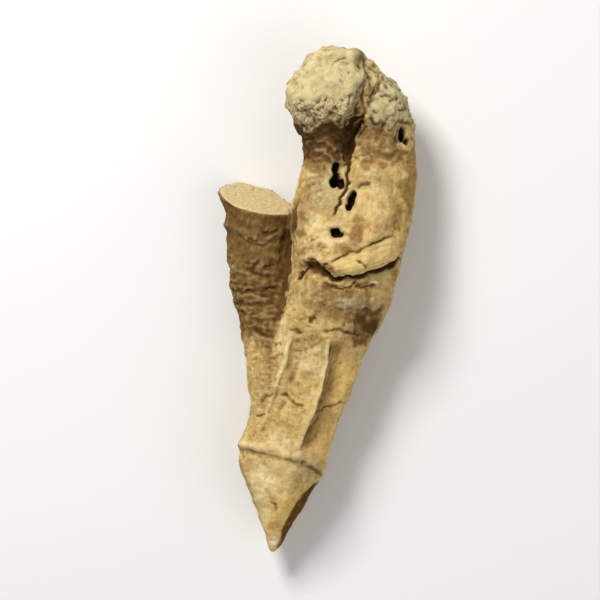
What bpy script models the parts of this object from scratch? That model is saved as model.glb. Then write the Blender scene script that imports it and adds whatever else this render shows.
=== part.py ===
"""A dried, forked piece of millettia root that lies on its side on a table.

The piece is one solid, as it grew. Two callused stem stubs sit side by side on its head, a third
stem was sawn off to its left, and all three run together into one tapering root, which ends in a
slanting chop. +Y runs along the root towards the head, +Z is up, and the origin is on the table
under the middle of the piece. Lengths in the lists and constants are in millimetres.
"""

import math

import bmesh
import bpy
import numpy as np
from mathutils import Vector, noise

MM = 0.001

# The limbs. Each station is x, y, z and radius, and they run towards the head.
TRUNK = [
    (2.4, -59.6, 8.5, 1.5),
    (1.8, -53.2, 8.4, 3.8),
    (1.5, -48.2, 8.5, 6.1),
    (0.9, -43.2, 8.6, 8.3),
    (0.6, -39.2, 8.9, 9.6),
    (0.8, -35.6, 9.4, 10.3),
    (2.7, -28.2, 9.8, 10.2),
    (4.1, -21.2, 10.3, 10.4),
    (4.9, -15.2, 10.9, 10.6),
    (5.9, -9.2, 11.5, 11.1),
    (7.5, -0.2, 12.2, 12.1),
    (8.7, 8.8, 12.5, 12.9),
    (8.9, 18.8, 12.2, 13.1),
    (8.3, 27.8, 11.9, 12.2),
    (8.0, 34.8, 12.4, 10.4),
    (7.6, 40.8, 13.2, 7.6),
    (7.2, 45.8, 14.2, 4.4),
]
LEFT_STUB = [
    (3.4, 14.8, 13.0, 8.5),
    (2.4, 24.8, 14.4, 7.6),
    (1.6, 31.8, 16.0, 6.9),
    (0.6, 37.8, 17.0, 6.7),
    (-1.3, 42.6, 17.4, 8.0),
    (-1.6, 46.6, 18.2, 8.6),
]
RIGHT_STUB = [
    (11.4, 14.8, 12.4, 10.4),
    (12.5, 26.8, 12.2, 9.4),
    (12.3, 34.8, 12.6, 8.6),
    (11.6, 40.8, 13.4, 8.0),
    (9.7, 45.6, 14.8, 6.7),
    (6.9, 49.6, 15.9, 5.3),
    (4.7, 53.2, 16.6, 3.8),
    (2.8, 55.2, 16.8, 2.9),
]
SAWN_STEM = [
    (-0.9, -33.2, 9.6, 6.6),
    (-2.1, -25.2, 10.2, 6.8),
    (-3.3, -19.2, 10.2, 6.8),
    (-6.0, -9.2, 9.0, 6.5),
    (-9.6, 0.8, 7.4, 6.6),
    (-11.8, 10.8, 7.0, 7.1),
    (-13.2, 17.8, 7.3, 7.7),
    (-14.4, 23.8, 7.7, 8.2),
    (-14.8, 28.8, 7.9, 8.2),
]

# The callus pads that grew over the two stubs: middle, the way the pad faces, radius, thickness.
LEFT_PAD = ((-1.7, 48.9, 20.6), (-0.30, 0.45, 0.84), 9.6, 12.6)
RIGHT_PAD = ((11.2, 45.5, 16.8), (0.50, 0.45, 0.74), 8.0, 9.6)
PAD_LUMPS = 0.45
# The neck under each pad: how far behind its middle, as a share of its thickness, and how deep.
NECK_PLACE = 0.72
NECK_GROOVES = (0.4, 0.4)
# The left pad's worn side: a point on it and the way it looks.
WORN_SIDE = ((-8.0, 51.2, 20.0), (-0.86, 0.49, 0.10))

# The flat cuts: the middle of the cutting face, the way it looks, and the box's width, height, depth.
SAW_CUT = ((-22.9, 21.8, 7.6), (0.09, 0.92, 0.38), (35, 40, 14))
RIGHT_CHOP = ((6.8, -46.6, 10.0), (0.83, -0.34, 0.44), (60, 60, 40))
LEFT_CHOP = ((-5.7, -46.0, 8.5), (-0.86, -0.44, 0.26), (60, 60, 40))
GROUND_CUT = ((0, 0, 0), (0, 0, -1), (200, 200, 20))

# Corners of the trunk's flat-sided section, in degrees round from the top and to the right, and how
# flat its sides are: at the tip, below the middle, and at the head.
CORNERS = (-43, 18, 70, 118, 160, 205, 248, 285)
FLATNESS_AT_Y = ((-60, 0.0), (-40, 0.5), (-34, 1.0), (-9, 0.9), (0, 0.35), (30, 0.3), (45, 0.0))

# Relief on the upper side, as lines of x and y seen from above.
CREASE = [
    (5.2, 56.6), (6.0, 51.5), (6.2, 46.2), (5.7, 40.9),
    (5.5, 35.6), (6.0, 30.4), (5.5, 25.1), (4.6, 19.7),
]
CREASE_DEPTH_ALONG = ((0.0, 0.5), (0.35, 1.2), (0.6, 2.2), (0.85, 1.0), (1.0, 0.0))
LEFT_RIDGE = [(-1.3, -8.2), (-1.5, -15.5), (-3.1, -22.3), (-4.0, -29.0), (-6.6, -33.3)]
MIDDLE_RIDGE = [(7.8, -7.5), (8.0, -12.7), (7.6, -18.7), (7.1, -24.0), (5.3, -29.5), (4.1, -34.3)]
# Each ridge: its crest's height and half width, and the depth, half width and place of the groove
# to the right of it.
LEFT_RIDGE_SHAPE = (0.7, 0.9, 0.5, 0.9, 1.7)
MIDDLE_RIDGE_SHAPE = (0.6, 1.1, 1.0, 1.6, 2.6)

# The torn bark: a strip stands up above this line, and a ledge is broken away below it.
TEAR = [
    (-2.4, 8.4), (-0.4, 7.7), (3.5, 7.7), (5.7, 6.4),
    (9.6, 6.6), (13.9, 8.6), (18.2, 10.6), (22.2, 14.5),
]
STRIP_HEIGHT = 1.0
LEDGE_DEPTH_ALONG = ((0.0, 0.0), (0.12, 2.4), (0.25, 2.4), (0.4, 1.5), (0.8, 1.1), (1.0, 0.4))

# Dents in the upper side: x, y, half width, half length, depth.
DENTS = [
    (3.4, 28.0, 1.1, 2.5, 2.8),
    (7.5, 22.7, 1.0, 2.2, 2.6),
    (5.2, 15.8, 1.2, 1.2, 2.2),
    (16.8, 39.3, 1.1, 1.6, 2.0),
    (15.0, -3.2, 4.0, 3.2, 2.6),
]

# Rings round the trunk: y on its axis, how far it leans to the right and to the top, depth, half width.
RINGS = [
    (-38.0, -1.4, 1.6, 1.1, 0.6),
    (-23.8, -0.6, 1.4, 0.2, 0.6),
    (-7.4, 0.6, 0.5, 0.4, 0.6),
    (19.0, 1.0, -1.0, 0.3, 0.8),
    (33.0, 0.0, 3.0, 0.2, 0.8),
]
# Scars of small side roots on the flanks and the back: y, degrees round from the top, radius.
SCARS = [(24, 128, 2.4), (-13, 208, 2.0), (2, 165, 2.8), (-29, 112, 1.8), (13, 236, 2.0)]
SCAR_RIM = 0.8
SCAR_DIMPLE = 0.9

LARGE_LUMPS = (14.0, 0.8)
SMALL_LUMPS = (5.0, 0.35)
FURROW_WIDTH = 3.0
FURROW_HEIGHT = 0.35
FURROW_STRETCH = 5.0
WRINKLE_WIDTH = 1.5
WRINKLE_STRETCH = 2.6
WRINKLE_HEIGHT = 0.6

# Three spots of the underside that stay smooth, so that the root rests on them: x and y.
REST_SPOTS = [(1.0, -34.0), (-13.0, 17.0), (9.0, 19.0)]
REST_RADIUS = 8.0

FUSING_VOXEL = 0.8
BARK_VOXEL = 0.6
FILLET_PASSES = 8
MOST_TRIANGLES = 11000


def clear_scene():
    for old in list(bpy.data.objects):
        bpy.data.objects.remove(old, do_unlink=True)


def new_collection(name, hidden=False):
    made = bpy.data.collections.new(name)
    bpy.context.scene.collection.children.link(made)
    made.hide_render = hidden
    return made


def new_object(name, data, collection):
    made = bpy.data.objects.new(name, data)
    collection.objects.link(made)
    return made


def evaluated_mesh(obj):
    """The object's mesh as its modifiers leave it, in world space."""
    bpy.context.view_layer.update()
    graph = bpy.context.evaluated_depsgraph_get()
    mesh = bpy.data.meshes.new_from_object(obj.evaluated_get(graph))
    mesh.transform(obj.matrix_world)
    return mesh


def apply_modifiers(obj):
    obj.data = evaluated_mesh(obj)
    obj.modifiers.clear()


def add_skin(obj, voxel):
    """One closed skin round everything in the object."""
    skin = obj.modifiers.new("one skin", "REMESH")
    skin.mode = "VOXEL"
    skin.voxel_size = voxel * MM


def limb(name, stations, collection):
    """A tube along the stations whose thickness follows their radii."""
    curve = bpy.data.curves.new(name, "CURVE")
    curve.dimensions = "3D"
    curve.bevel_depth = MM  # so that a point's radius is in millimetres
    curve.bevel_resolution = 8
    curve.use_fill_caps = True
    spline = curve.splines.new("BEZIER")
    spline.radius_interpolation = "CARDINAL"
    spline.resolution_u = 8
    spline.bezier_points.add(len(stations) - 1)
    for point, (x, y, z, radius) in zip(spline.bezier_points, stations):
        point.co = Vector((x, y, z)) * MM
        point.radius = radius
        point.handle_left_type = "AUTO"
        point.handle_right_type = "AUTO"
    return new_object(name, curve, collection)


def pad(name, middle, facing, radius, thickness, collection):
    """A callus: a ball flattened along the way that it faces."""
    mesh = bpy.data.meshes.new(name)
    ball = bmesh.new()
    bmesh.ops.create_uvsphere(ball, u_segments=32, v_segments=16, radius=radius * MM)
    ball.to_mesh(mesh)
    ball.free()
    made = new_object(name, mesh, collection)
    made.location = Vector(middle) * MM
    made.rotation_euler = Vector(facing).to_track_quat("Z", "Y").to_euler()
    made.scale = (1, 1, thickness / (2 * radius))
    return made


def fused(name, pieces, collection):
    """The pieces grown together, with soft fillets where they meet."""
    together = bmesh.new()
    for piece in pieces:
        together.from_mesh(evaluated_mesh(piece))
        bpy.data.objects.remove(piece, do_unlink=True)
    mesh = bpy.data.meshes.new(name)
    together.to_mesh(mesh)
    together.free()
    made = new_object(name, mesh, collection)
    add_skin(made, FUSING_VOXEL)
    fillets = made.modifiers.new("fillets", "SMOOTH")
    fillets.factor = 0.5
    fillets.iterations = FILLET_PASSES
    apply_modifiers(made)
    return made


def bell(distance, width):
    return np.exp(-((distance / width) ** 2))


def ramp(low, high, value):
    """0 at low, 1 at high, and a smooth rise between them."""
    t = np.clip((value - low) / (high - low), 0, 1)
    return t * t * (3 - 2 * t)


def from_table(table, value):
    places, amounts = zip(*table)
    return np.interp(value, places, amounts)


def lumps(points, size, seed):
    """Smooth noise from about -1 to 1, whose lumps are as wide as the size."""
    shift = Vector((seed * 17.3, seed * 5.1, seed * 9.7))
    return np.array([noise.noise(Vector(point) / size + shift) for point in points]) * 1.6


def beside(line, x, y):
    """Each point's distance from a line, above 0 on the line's left, and the share of it passed."""
    line = np.array(line)
    steps = line[1:] - line[:-1]
    lengths = np.hypot(steps[:, 0], steps[:, 1])
    nearest = np.full(x.shape, np.inf)
    offset = np.zeros(x.shape)
    along = np.zeros(x.shape)
    passed = 0.0
    for start, step, length in zip(line, steps, lengths):
        dx = x - start[0]
        dy = y - start[1]
        share = np.clip((dx * step[0] + dy * step[1]) / length**2, 0, 1)
        distance = np.hypot(dx - share * step[0], dy - share * step[1])
        side = np.where(step[0] * dy > step[1] * dx, 1, -1)
        closer = distance < nearest
        nearest = np.where(closer, distance, nearest)
        offset = np.where(closer, side * distance, offset)
        along = np.where(closer, (passed + share * length) / lengths.sum(), along)
        passed += length
    return offset, along


def fade_at_ends(along, share):
    return ramp(0, share, along) * ramp(0, share, 1 - along)


class Skin:
    """The skin's points and normals in millimetres, and where each point lies round the trunk."""

    def __init__(self, mesh):
        self.points = self.read(mesh, "co") / MM
        self.normals = self.read(mesh, "normal")
        self.x, self.y, self.z = self.points.T
        self.top = ramp(0.0, 0.45, self.normals[:, 2])
        self.resting = self.near_rest_spots() * ramp(-0.75, -0.95, self.normals[:, 2])
        stations = np.array(TRUNK).T
        right = self.x - np.interp(self.y, stations[1], stations[0])
        up = self.z - np.interp(self.y, stations[1], stations[2])
        self.angle = np.arctan2(right, up)
        self.radius = np.interp(self.y, stations[1], stations[3])
        self.on_trunk = ramp(3.0, 1.0, np.hypot(right, up) - self.radius)

    @staticmethod
    def read(mesh, field):
        values = np.empty(len(mesh.vertices) * 3)
        mesh.vertices.foreach_get(field, values)
        return values.reshape(-1, 3)

    def near_rest_spots(self):
        return sum(bell(np.hypot(self.x - x, self.y - y), REST_RADIUS) for x, y in REST_SPOTS)

    def turned_from(self, degrees):
        """The angle between each point and a place round the trunk, from -pi to pi."""
        return (self.angle - math.radians(degrees) + math.pi) % math.tau - math.pi


def facets(skin):
    """Flattens the round trunk between its corners."""
    height = np.zeros(len(skin.points))
    for low, high in zip(CORNERS, CORNERS[1:] + (CORNERS[0] + 360,)):
        half = math.radians(high - low) / 2
        turn = skin.turned_from((low + high) / 2)
        flat = skin.radius * (math.cos(half) / np.cos(np.clip(turn, -half, half)) - 1)
        height += np.where(np.abs(turn) <= half, flat, 0)
    return height * from_table(FLATNESS_AT_Y, skin.y) * skin.on_trunk


def ridge(skin, line, shape):
    crest, crest_width, groove, groove_width, groove_place = shape
    offset, along = beside(line, skin.x, skin.y)
    height = crest * bell(offset, crest_width)
    height -= groove * bell(offset - groove_place, groove_width)
    return height * fade_at_ends(along, 0.15) * skin.top


def furrows(skin):
    """Shallow furrows along the root, which the upper side shows least."""
    stretched = skin.points / np.array([1.0, FURROW_STRETCH, 1.0])
    return FURROW_HEIGHT * lumps(stretched, FURROW_WIDTH, 11) * (1 - 0.6 * skin.top)


def rings(skin):
    """Ring grooves, each with a low lip on its upper side."""
    height = np.zeros(len(skin.points))
    wobble = 0.5 * lumps(skin.points, 5.0, 3)
    for place, to_right, to_top, depth, width in RINGS:
        middle = place + to_right * np.sin(skin.angle) + to_top * np.cos(skin.angle) + wobble
        above = skin.y - middle
        height += 0.6 * depth * bell(above - 1.8 * width, 1.6 * width) - depth * bell(above, width)
    return height * skin.on_trunk


def wrinkles(skin):
    """Uneven cross wrinkles on the sawn stem."""
    on_stem = ramp(-4, -7, skin.x) * ramp(-12, -4, skin.y) * ramp(17, 13, skin.y)
    stretched = skin.points / np.array([WRINKLE_STRETCH, 1.0, WRINKLE_STRETCH])
    return WRINKLE_HEIGHT * on_stem * lumps(stretched, WRINKLE_WIDTH, 5)


def torn_bark(skin):
    above, along = beside(TEAR, skin.x, skin.y)
    strip = STRIP_HEIGHT * fade_at_ends(along, 0.2) * ramp(-0.2, 0.6, above) * ramp(5.0, 2.2, above)
    ledge = from_table(LEDGE_DEPTH_ALONG, along) * ramp(0.4, -0.4, above) * ramp(-7.0, -1.5, above)
    return (strip - ledge) * skin.top


def dents(skin):
    height = np.zeros(len(skin.points))
    for x, y, half_width, half_length, depth in DENTS:
        distance = np.hypot((skin.x - x) / half_width, (skin.y - y) / half_length)
        height -= depth * bell(distance, 1.0)
    offset, along = beside(CREASE, skin.x, skin.y)
    height -= from_table(CREASE_DEPTH_ALONG, along) * bell(offset, 1.3)
    return height * skin.top


def scars(skin):
    """Round scars with a raised rim where side roots broke off."""
    height = np.zeros(len(skin.points))
    for y, degrees, radius in SCARS:
        across = skin.turned_from(degrees) * skin.radius
        distance = np.hypot(across, skin.y - y)
        height += SCAR_RIM * bell(distance - radius, 0.8) - SCAR_DIMPLE * bell(distance, radius * 0.6)
    return height * skin.on_trunk


def callus(skin):
    """Lumps on the pads, and a groove round the neck under each of them."""
    height = np.zeros(len(skin.points))
    lumpy = lumps(skin.points, 3.5, 7)
    for (middle, facing, radius, thickness), groove in zip((LEFT_PAD, RIGHT_PAD), NECK_GROOVES):
        away = skin.points - np.array(middle)
        depth = away @ np.array(Vector(facing).normalized())
        near = ramp(1.5, 1.1, np.linalg.norm(away, axis=1) / radius)
        height += PAD_LUMPS * near * lumpy * ramp(-0.6 * thickness, -0.2 * thickness, depth)
        height -= groove * near * bell(depth + NECK_PLACE * thickness, 1.6)
    point, facing = WORN_SIDE
    proud = (skin.points - np.array(point)) @ np.array(Vector(facing).normalized())
    return height - np.clip(proud, 0, None)


def raise_relief(root):
    """Moves each vertex along its normal by the height of the bark there."""
    skin = Skin(root.data)
    height = np.zeros(len(skin.points))
    for seed, (size, amount) in enumerate((LARGE_LUMPS, SMALL_LUMPS), start=1):
        height += amount * lumps(skin.points, size, seed)
    height += facets(skin)
    height += furrows(skin)
    height += ridge(skin, LEFT_RIDGE, LEFT_RIDGE_SHAPE)
    height += ridge(skin, MIDDLE_RIDGE, MIDDLE_RIDGE_SHAPE)
    height += rings(skin)
    height += wrinkles(skin)
    height += torn_bark(skin)
    height += dents(skin)
    height += scars(skin)
    height += callus(skin)
    height *= 1 - np.clip(skin.resting, 0, 1)
    moved = skin.points + skin.normals * height[:, None]
    root.data.vertices.foreach_set("co", (moved * MM).ravel())
    root.data.update()


def cutter(name, middle, facing, size, collection):
    """A box whose one face lies in the plane of a cut, on the side that is cut away."""
    mesh = bpy.data.meshes.new(name)
    box = bmesh.new()
    bmesh.ops.create_cube(box, size=MM)
    box.to_mesh(mesh)
    box.free()
    made = new_object(name, mesh, collection)
    direction = Vector(facing).normalized()
    made.location = (Vector(middle) + direction * size[2] / 2) * MM
    made.rotation_euler = direction.to_track_quat("Z", "Y").to_euler()
    made.scale = size
    made.display_type = "WIRE"
    made.hide_render = True
    return made


def cut(root, tool):
    step = root.modifiers.new(tool.name, "BOOLEAN")
    step.operation = "DIFFERENCE"
    step.object = tool


def thin_out(root, most_triangles):
    triangles = sum(len(face.vertices) - 2 for face in root.data.polygons)
    step = root.modifiers.new("fewer faces", "DECIMATE")
    step.ratio = most_triangles / triangles
    apply_modifiers(root)


def centre_over_origin(root):
    """Shifts the mesh sideways so that the origin is under the middle of its box."""
    corners = [Vector(corner) for corner in root.bound_box]
    low = Vector(map(min, zip(*corners)))
    high = Vector(map(max, zip(*corners)))
    middle = (low + high) / 2
    for vertex in root.data.vertices:
        vertex.co.x -= middle.x
        vertex.co.y -= middle.y


def bark_material():
    made = bpy.data.materials.new("bark")
    made.use_nodes = True
    shader = made.node_tree.nodes["Principled BSDF"]
    shader.inputs["Base Color"].default_value = (0.52, 0.36, 0.18, 1)
    shader.inputs["Roughness"].default_value = 0.85
    shader.inputs["Metallic"].default_value = 0.0
    return made


def main():
    clear_scene()
    parts = new_collection("millettia root")
    cutters = new_collection("cutters", hidden=True)
    limbs = [
        limb("trunk", TRUNK, parts),
        limb("left stub", LEFT_STUB, parts),
        limb("right stub", RIGHT_STUB, parts),
        limb("sawn stem", SAWN_STEM, parts),
        pad("left pad", *LEFT_PAD, parts),
        pad("right pad", *RIGHT_PAD, parts),
    ]
    root = fused("root", limbs, parts)
    raise_relief(root)
    add_skin(root, BARK_VOXEL)  # also takes out any fold that the relief made
    apply_modifiers(root)
    thin_out(root, MOST_TRIANGLES)
    cut(root, cutter("saw cut", *SAW_CUT, cutters))
    cut(root, cutter("right chop", *RIGHT_CHOP, cutters))
    cut(root, cutter("left chop", *LEFT_CHOP, cutters))
    apply_modifiers(root)
    centre_over_origin(root)
    cut(root, cutter("ground", *GROUND_CUT, cutters))
    root.data.shade_smooth()
    root.data.materials.clear()
    root.data.materials.append(bark_material())


main()
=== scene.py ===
"""Looks of the dried, forked millettia root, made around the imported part.

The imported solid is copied, given a fine skin, and carved with the cracks, rings, pits, wrinkles and
callus crumbs of the bark. The same formulas mark where each colour goes, and one procedural bark
material reads those marks. Lengths are in millimetres unless a name says otherwise.
"""

import math

import bpy
import numpy as np
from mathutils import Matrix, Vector, noise


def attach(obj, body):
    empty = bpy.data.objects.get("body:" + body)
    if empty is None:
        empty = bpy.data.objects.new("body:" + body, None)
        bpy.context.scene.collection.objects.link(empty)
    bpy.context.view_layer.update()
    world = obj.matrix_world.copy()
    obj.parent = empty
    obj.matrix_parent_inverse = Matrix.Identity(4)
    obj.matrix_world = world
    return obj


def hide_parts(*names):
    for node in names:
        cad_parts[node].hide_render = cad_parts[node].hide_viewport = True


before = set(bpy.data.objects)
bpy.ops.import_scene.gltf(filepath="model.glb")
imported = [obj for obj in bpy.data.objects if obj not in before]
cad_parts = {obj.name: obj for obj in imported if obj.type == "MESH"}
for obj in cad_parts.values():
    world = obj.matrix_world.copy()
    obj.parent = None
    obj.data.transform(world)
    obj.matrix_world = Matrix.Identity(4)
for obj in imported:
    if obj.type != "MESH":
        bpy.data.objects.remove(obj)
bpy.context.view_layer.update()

MM = 0.001

# The part's source moved the root by this to centre it. The places below are from before that move.
CENTRING = np.array((0.50, 0.56, 0.0))

# The trunk's middle line: x, y, z and radius, towards the head.
TRUNK = [
    (2.4, -59.6, 8.5, 1.5),
    (1.5, -48.2, 8.5, 6.1),
    (0.6, -39.2, 8.9, 9.6),
    (2.7, -28.2, 9.8, 10.2),
    (4.9, -15.2, 10.9, 10.6),
    (7.5, -0.2, 12.2, 12.1),
    (8.9, 18.8, 12.2, 13.1),
    (8.0, 34.8, 12.4, 10.4),
    (7.2, 45.8, 14.2, 4.4),
]

# The callus pads: middle, the way the pad faces, radius, and where along that way its cap ends.
LEFT_PAD = ((-1.7, 48.9, 20.6), (-0.30, 0.45, 0.84), 9.6, -3.8)
RIGHT_PAD = ((11.2, 45.5, 16.8), (0.50, 0.45, 0.74), 8.0, -2.6)

# Flat cuts: a point on the face and the way it looks.
SAW_CUT = ((-22.9, 21.8, 7.6), (0.09, 0.92, 0.38))
RIGHT_CHOP = ((6.8, -46.6, 10.0), (0.83, -0.34, 0.44))

# The pith of the sawn stem, as x and z on its face, and how far apart its growth rings are.
STEM_PITH = (-14.2, 8.2)
RING_SPACING = 1.7

# Lines of x and y on the upper side, seen from above.
CREVICE = [(7.6, 42.6), (6.2, 39.6), (5.5, 36.4), (5.3, 34.0), (5.9, 31.7)]
CREASE = [(5.3, 33.5), (5.9, 31.4), (5.6, 29.2), (6.2, 27.2), (5.5, 24.9), (4.8, 22.3), (3.7, 18.6)]
BETWEEN_CAPS = [(3.9, 57.6), (5.4, 55.9), (6.5, 52.3), (6.8, 49.4), (6.3, 47.0), (7.3, 44.0), (7.0, 41.5)]
BESIDE_RIGHT_CAP = [(8.9, 54.4), (9.8, 50.8), (8.7, 47.6), (7.9, 44.4)]
# The edges of each cap's smooth face and of its crumbly rim, with the cap on the line's left.
LEFT_FACE_EDGE = [
    (-13.0, 45.0), (-10.2, 43.9), (-6.6, 43.4), (-2.5, 44.7), (2.0, 45.8),
    (4.9, 47.5), (6.3, 50.2), (6.7, 52.5), (5.3, 55.0), (3.6, 56.6), (1.1, 60.0),
]
LEFT_RIM_EDGE = [
    (-13.0, 43.2), (-9.9, 41.6), (-7.7, 39.7), (-5.2, 38.0), (-3.8, 37.5), (-2.2, 38.6), (1.0, 40.1),
    (3.0, 39.7), (4.7, 41.2), (5.4, 43.0), (5.6, 46.0), (6.4, 49.0), (7.0, 52.6), (5.8, 55.2), (4.0, 56.8),
    (1.5, 60.0),
]
RIGHT_FACE_EDGE = [
    (9.7, 54.6), (10.2, 50.5), (9.2, 47.7), (8.9, 45.2), (9.6, 43.0), (12.3, 42.0),
    (15.5, 42.8), (19.8, 44.6), (22.0, 45.5),
]
RIGHT_RIM_EDGE = [
    (9.3, 55.0), (9.8, 50.5), (8.7, 47.8), (8.2, 45.2), (8.2, 41.8), (10.4, 40.6), (12.6, 40.5),
    (13.9, 41.4), (15.8, 42.2), (19.2, 44.1), (22.0, 44.6),
]
STEM_SEAM = [(-4.9, 24.0), (-4.8, 17.4), (-4.5, 8.2), (-4.5, -0.4), (-4.8, -9.0)]
CHOP_EDGE = [
    (13.5, -39.0), (9.8, -40.3), (6.9, -44.3), (4.7, -48.6), (3.6, -52.3), (3.4, -55.2), (2.8, -60.0),
]
TIP_LEFT_EDGE = [(-9.5, -38.6), (-6.6, -42.0), (-3.9, -47.6), (-1.3, -53.0), (0.4, -57.5)]
LEFT_RIDGE = [(-1.3, -8.2), (-1.5, -15.5), (-3.1, -22.3), (-4.0, -29.0), (-6.6, -33.3)]
MIDDLE_RIDGE = [(7.8, -7.5), (8.1, -17.7), (8.0, -20.2), (7.3, -25.3), (5.5, -31.5), (4.5, -35.0)]
STRIP_BOTTOM = [(3.6, 7.6), (6.7, 5.6), (11.5, 7.1), (16.5, 9.3), (21.9, 13.3)]
STRIP_TOP = [(3.6, 7.8), (7.0, 10.7), (10.7, 12.3), (15.5, 15.5), (18.8, 17.5), (21.8, 20.8)]

# How far the strip's splinters turn from the x axis.
STRIP_TURN = math.radians(25)

# The hollow at the strip's left end: x, y, half width, half length, and its slope down to the right.
TEAR_HOLLOW = (2.7, 7.1, 3.4, 1.3, 0.25)

# From where each of these is absent to where it is full: along y, or along x where the name says so.
CAP_RIDGE_FOOT = (43, 45)
NECK_FOOT = (29.6, 31.6)
NECK_HEAD = (46.0, 43.5)
NECK_RIGHT_X = (6.2, 5.2)
STEM_FOOT = (-16, -8)
STEM_SMOOTH = (5.6, 8.0)
SAW_FACE_RIGHT_X = (-4.6, -5.4)
CHOP_HEAD = (-39.8, -41.0)
TIP_HEAD = (-38.6, -40.5)

# Cracks: points of each line, half width, depth, darkness.
CRACKS = [
    ([(-6.2, -25.0), (-4.9, -23.4), (-3.3, -22.3)], 0.30, 0.15, 0.35),
    ([(-2.1, -22.0), (-0.5, -22.4), (1.2, -23.3), (2.9, -24.2), (4.4, -24.5)], 0.28, 0.20, 0.45),
    ([(-6.6, -28.4), (-5.5, -28.1), (-4.6, -27.0)], 0.30, 0.15, 0.35),
    ([(7.0, -26.2), (9.1, -24.2), (11.2, -23.0), (13.4, -21.6)], 0.30, 0.20, 0.35),
    ([(-2.0, -7.8), (-0.4, -7.6), (1.4, -7.7)], 0.28, 0.20, 0.45),
    ([(5.0, -6.9), (8.1, -5.9), (11.7, -6.1), (15.0, -6.8)], 0.28, 0.22, 0.50),
    ([(3.5, 4.3), (7.0, 3.5), (10.1, 4.1), (11.9, 5.9)], 0.30, 0.35, 0.60),
    ([(10.8, 4.0), (13.0, 4.6), (16.4, 5.4)], 0.30, 0.30, 0.55),
    ([(11.2, 10.8), (12.2, 9.8), (13.4, 8.6)], 0.32, 0.30, 0.50),
    ([(-17.4, 12.8), (-14.8, 10.7), (-10.5, 10.4), (-7.0, 13.2)], 0.35, 0.20, 0.35),
    ([(-1.6, 3.7), (-1.2, 5.3), (0.6, 7.2)], 0.45, 0.50, 0.75),
    ([(0.4, 8.8), (1.8, 8.2), (3.0, 7.6)], 0.45, 0.45, 0.70),
    ([(-11.4, 12.9), (-9.5, 13.6), (-7.7, 14.9)], 0.28, 0.30, 0.60),
    ([(-14.6, 11.7), (-13.2, 11.2), (-11.9, 11.7)], 0.28, 0.25, 0.50),
    ([(-12.8, 5.7), (-11.6, 6.1), (-10.6, 7.0)], 0.32, 0.30, 0.60),
    ([(-9.8, 6.4), (-8.7, 6.0), (-7.3, 6.6)], 0.32, 0.30, 0.60),
    ([(-16.8, -0.9), (-11.5, -0.2), (-5.4, 1.6)], 0.35, 0.30, 0.50),
    ([(-16.0, -4.1), (-10.5, -3.0), (-5.0, -1.6)], 0.35, 0.25, 0.40),
    ([(2.4, -5.6), (2.8, -4.6), (3.7, -3.7)], 0.50, 0.30, 0.55),
    ([(8.3, 26.2), (9.2, 27.3), (11.6, 27.9)], 0.35, 0.25, 0.45),
    ([(-0.3, -47.3), (0.8, -47.7), (2.0, -48.5)], 0.40, 0.20, 0.35),
    ([(12.4, 47.3), (13.5, 47.8), (14.6, 47.4)], 0.40, 0.30, 0.40),
    ([(14.9, 45.0), (16.2, 45.9), (17.6, 46.3)], 0.40, 0.35, 0.45),
    ([(15.4, 42.4), (17.4, 42.9), (19.2, 44.0)], 0.35, 0.30, 0.50),
    ([(9.6, 41.2), (11.2, 42.1), (12.6, 41.6)], 0.40, 0.30, 0.45),
    ([(3.6, 38.9), (5.0, 41.2), (7.6, 43.0)], 0.40, 0.30, 0.80),
    ([(6.8, 37.6), (7.6, 39.2), (8.6, 40.6)], 0.30, 0.25, 0.45),
    ([(4.2, 36.6), (4.4, 34.9), (4.1, 33.4)], 0.35, 0.25, 0.55),
]

# Pits: x, y, half width, half length, depth. Those that overlap make one ragged hole.
PITS = [
    (3.0, 29.8, 0.60, 1.25, 2.0),
    (3.2, 28.3, 0.75, 0.90, 1.9),
    (3.0, 27.0, 0.85, 1.00, 1.8),
    (3.9, 27.2, 0.80, 0.60, 1.7),
    (4.6, 26.8, 0.60, 0.80, 1.4),
    (7.6, 23.8, 0.75, 1.40, 2.0),
    (7.3, 21.7, 0.60, 0.85, 1.5),
    (5.3, 15.7, 1.15, 0.90, 1.7),
    (16.7, 40.0, 0.60, 1.40, 1.5),
    (17.9, 38.6, 0.60, 0.70, 1.2),
]

# Rings: y on the trunk's axis, how far the ring leans to the right and to the top, how far the source's
# groove is filled, darkness.
RINGS = [
    (-38.0, -1.4, 1.6, 0.55, 0.85),
    (-7.4, 0.6, 0.5, 0.20, 0.15),
    (33.0, 0.0, 3.0, 0.00, 0.10),
]

# Spots of the upper side where the bark is speckled and uneven: x, y, half width, half length.
ROUGH_SPOTS = [
    (-6.5, -17.0, 3.4, 10.0),
    (6.0, 0.5, 12.0, 5.5),
    (-1.0, 11.5, 4.5, 4.0),
    (3.0, -10.5, 5.0, 2.5),
    (12.0, 37.0, 8.0, 5.0),
    (-0.5, 27.0, 4.0, 5.0),
]

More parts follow.
